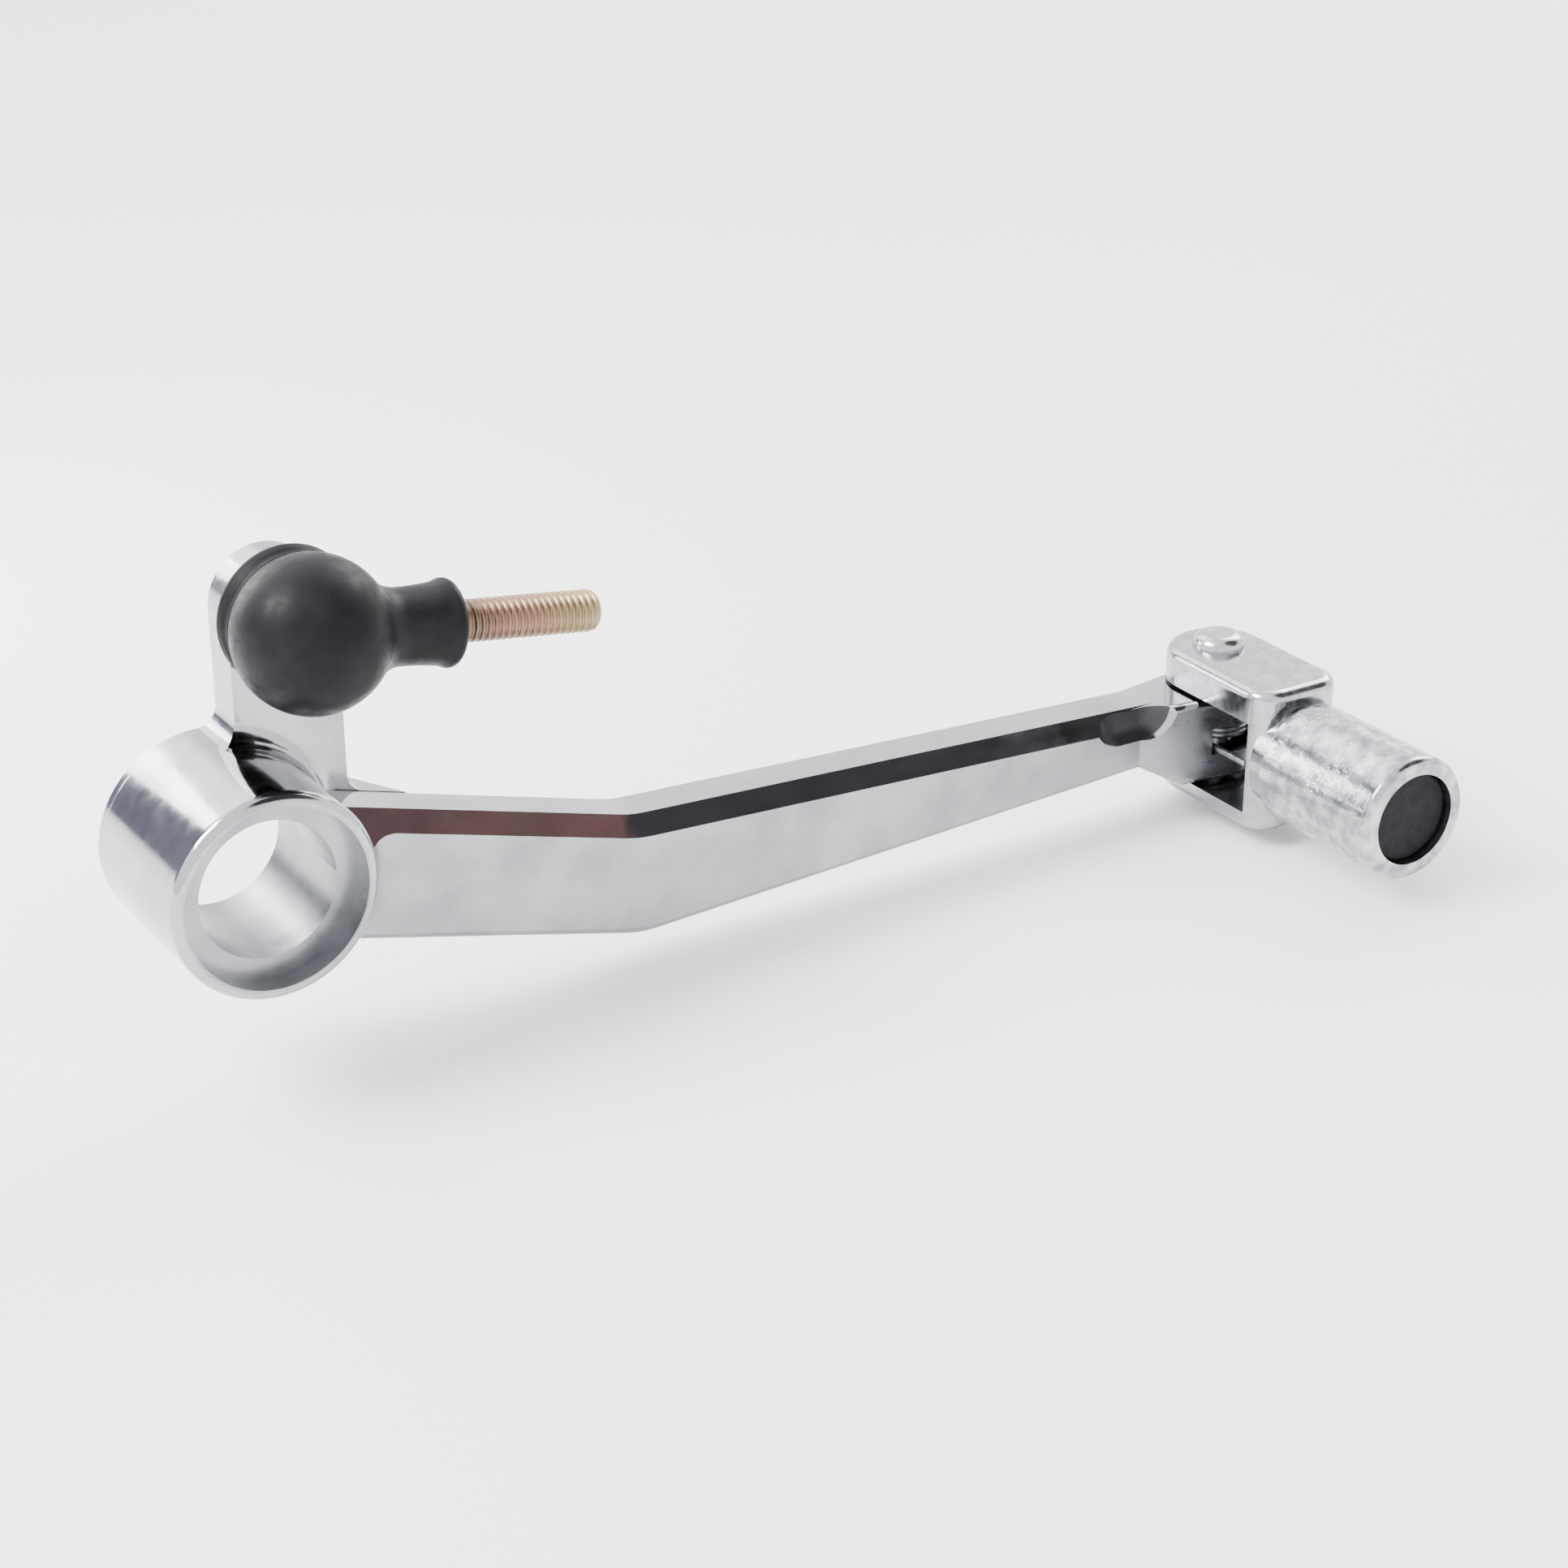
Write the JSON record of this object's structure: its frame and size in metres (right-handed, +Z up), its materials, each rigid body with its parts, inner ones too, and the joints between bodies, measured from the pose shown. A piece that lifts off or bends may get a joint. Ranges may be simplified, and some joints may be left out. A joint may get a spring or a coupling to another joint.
{
  "type": "motorcycle gear shift lever",
  "caption": "Bent gear shift lever with a bored pivot hub, a booted ball joint and threaded link rod on an ear, and a spring-loaded folding toe peg.",
  "frame": {"origin": "middle of the pivot bore, on its axis", "axes": "+X along the lever towards the toe piece, -Y outboard along the pivot bore and the toe peg, +Z up with the ball-stud ear standing up"},
  "size_m": [0.1975, 0.0596, 0.0757],
  "materials": {
    "polished_alloy": "polished forged aluminium, machined bright in the bores",
    "grip_alloy": "satin forged aluminium with a knurled grip",
    "bright_steel": "bright zinc-plated steel",
    "dark_steel": "oiled spring steel",
    "yellow_zinc": "steel with yellow chromate over zinc plating",
    "black_rubber": "soft black moulded rubber, satin",
    "black_plug": "matte black moulded plastic",
    "seat_plastic": "natural white acetal"
  },
  "bodies": {
    "lever": {"lever_body": "polished_alloy", "ball_stud": "bright_steel", "pin_bush": "bright_steel", "toe_spring": "dark_steel"},
    "boot_swivel": {"boot_ring": "bright_steel"},
    "rod_end": {"rod_end_housing": "bright_steel", "ball_seat": "seat_plastic", "housing_cap": "bright_steel", "seat_spring": "dark_steel", "tie_rod": "yellow_zinc", "dust_boot": "black_rubber"},
    "toe": {"toe_piece": "grip_alloy", "peg_plug": "black_plug", "toe_pin": "bright_steel", "pin_washer": "bright_steel", "thrust_washers": "bright_steel"}
  },
  "joints": [
    {"name": "toe_fold", "type": "hinge", "parent": "lever", "child": "toe", "pos_m": [0.1725, 0.002, -0.0199], "axis": [0, 0, -1], "range_deg": [0, 45], "stiffness_Nm_per_rad": 0.25, "springref_deg": -28.65, "deforming": ["toe_spring"]},
    {"name": "rod_swivel", "type": "hinge", "parent": "lever", "child": "boot_swivel", "pos_m": [0.0115, -0.003, 0.032], "axis": [0, -1, 0], "range_deg": [-32, 200]},
    {"name": "rod_tilt", "type": "hinge", "parent": "boot_swivel", "child": "rod_end", "pos_m": [0.0115, -0.003, 0.032], "axis": [0.1305, 0, 0.9914], "range_deg": [-12, 12], "deforming": ["dust_boot"]}
  ]
}
